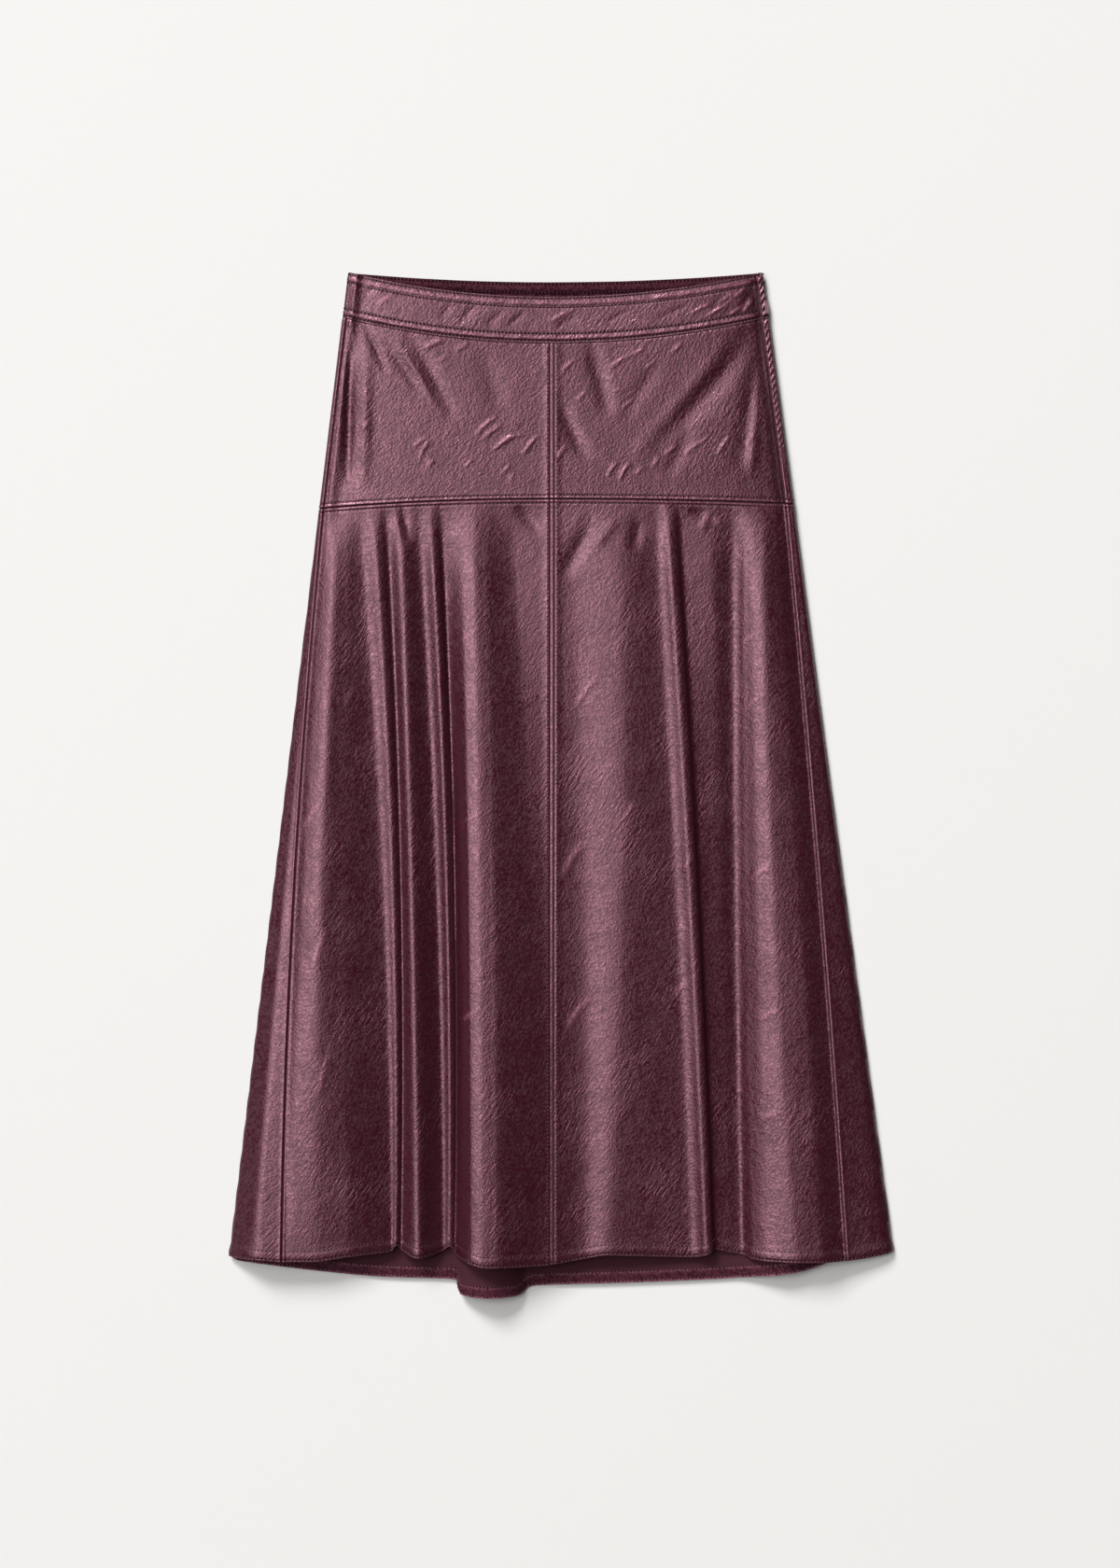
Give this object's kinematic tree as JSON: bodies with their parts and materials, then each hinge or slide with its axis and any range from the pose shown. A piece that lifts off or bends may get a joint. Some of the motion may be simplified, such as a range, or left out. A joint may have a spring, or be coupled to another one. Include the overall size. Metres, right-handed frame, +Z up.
{
  "type": "leather skirt",
  "caption": "Flared midi skirt in burgundy leather, with a shaped waistband, a hip yoke, a centre front seam and soft folds, laid flat on its back",
  "frame": {"origin": "middle of the bounding box's underside, on the surface that the skirt lies on", "axes": "+Y to the waist, +X to the wearer's left side as the front is seen from above, +Z up through the front layer"},
  "size_m": [0.5688, 0.876, 0.031],
  "materials": {
    "leather": "satin, fine grain",
    "tape": "woven",
    "zip_metal": "satin"
  },
  "bodies": {
    "root": {"waistband_front": "leather", "waistband_back": "leather", "yoke_front_left": "leather", "yoke_front_right": "leather", "yoke_back_left": "leather", "yoke_back_right": "leather", "skirt_front_left": "leather", "skirt_front_right": "leather", "skirt_back_left": "leather", "skirt_back_right": "leather", "zip_tape": "tape", "zip_tab": "zip_metal"}
  },
  "joints": []
}
